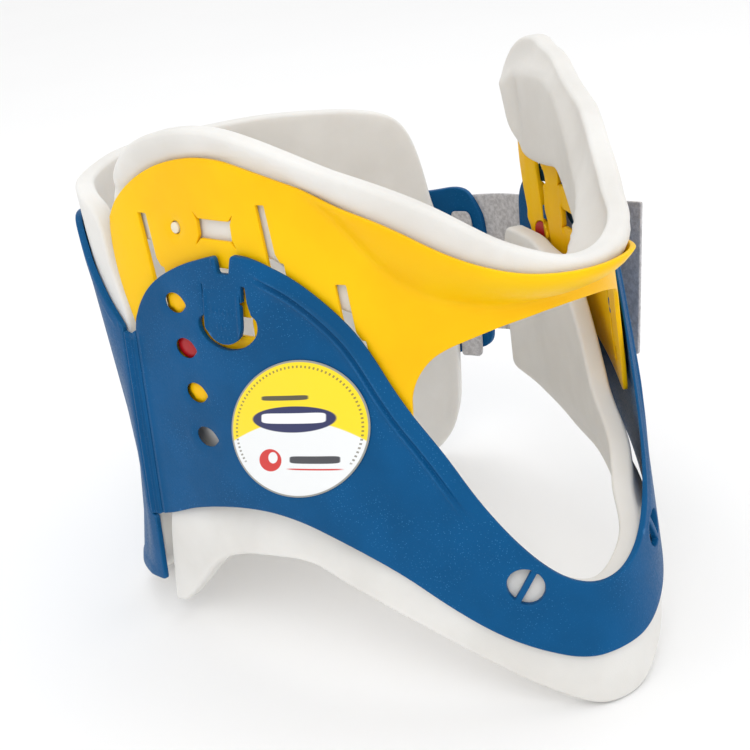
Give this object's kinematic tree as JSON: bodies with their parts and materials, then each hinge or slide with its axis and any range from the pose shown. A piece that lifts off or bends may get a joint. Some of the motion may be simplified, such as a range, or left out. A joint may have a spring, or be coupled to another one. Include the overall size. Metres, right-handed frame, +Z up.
{
  "type": "adjustable cervical collar",
  "caption": "Adjustable rigid extrication collar: plastic front with sliding chin support, foam lining, hinged back panel and hook-and-loop strap.",
  "frame": {"origin": "centre of the bounding box at the height of the surface that the collar stands on", "axes": "+Z up along the neck, -Y to the front of the collar, +X to the wearer's left"},
  "size_m": [0.1598, 0.1932, 0.173],
  "materials": {
    "blue_shell": "moulded polyethylene, fine texture",
    "yellow_shell": "moulded polyethylene, smooth satin",
    "white_foam": "closed-cell foam sheet, matte",
    "red_marker": "satin plastic plug",
    "rivet_plastic": "natural plastic",
    "grey_loop": "brushed loop fabric",
    "black_hook": "moulded hook pile",
    "label_film": "printed adhesive film"
  },
  "bodies": {
    "front": {"front_body": "blue_shell", "living_hinge": "blue_shell", "front_foam": "white_foam", "hook_patch": "black_hook", "label": "label_film"},
    "chin": {"chin_support": "yellow_shell", "chin_foam": "white_foam", "size_marker_right": "red_marker", "size_marker_left": "red_marker", "foam_rivet_right": "rivet_plastic", "foam_rivet_left": "rivet_plastic"},
    "tab_right": {"lock_tab_right": "blue_shell"},
    "tab_left": {"lock_tab_left": "blue_shell"},
    "back": {"back_panel": "blue_shell", "back_foam": "white_foam", "strap_fixed_end": "grey_loop", "strap_backing": "grey_loop", "strap_rivet_upper": "rivet_plastic", "strap_rivet_lower": "rivet_plastic"},
    "strap_end": {"strap": "grey_loop"}
  },
  "joints": [
    {"name": "chin_height", "type": "slide", "parent": "front", "child": "chin", "axis": [0, 0.1483, 0.9889], "range_m": [-0.02892, 0.01446]},
    {"name": "lock_tab_right_press", "type": "hinge", "parent": "front", "child": "tab_right", "pos_m": [-0.06382, 0.00085, 0.125], "axis": [0.3058, -0.9521, 0], "range_deg": [0, 6]},
    {"name": "lock_tab_left_press", "type": "hinge", "parent": "front", "child": "tab_left", "pos_m": [0.06356, 0.00085, 0.125], "axis": [0.3058, 0.9521, 0], "range_deg": [0, 6]},
    {"name": "back_panel_swing", "type": "hinge", "parent": "front", "child": "back", "pos_m": [-0.07958, 0.04899, 0], "axis": [0.0291, -0.014, 0.9995], "range_deg": [0, 80]},
    {"name": "strap_peel", "type": "hinge", "parent": "back", "child": "strap_end", "pos_m": [0.07973, 0.069, 0.0015], "axis": [-0.0269, -0.0196, 0.9994], "range_deg": [0, 100]}
  ],
  "couplings": [
    {"joint": "strap_peel", "follows": "back_panel_swing", "ratio": 1.25}
  ]
}
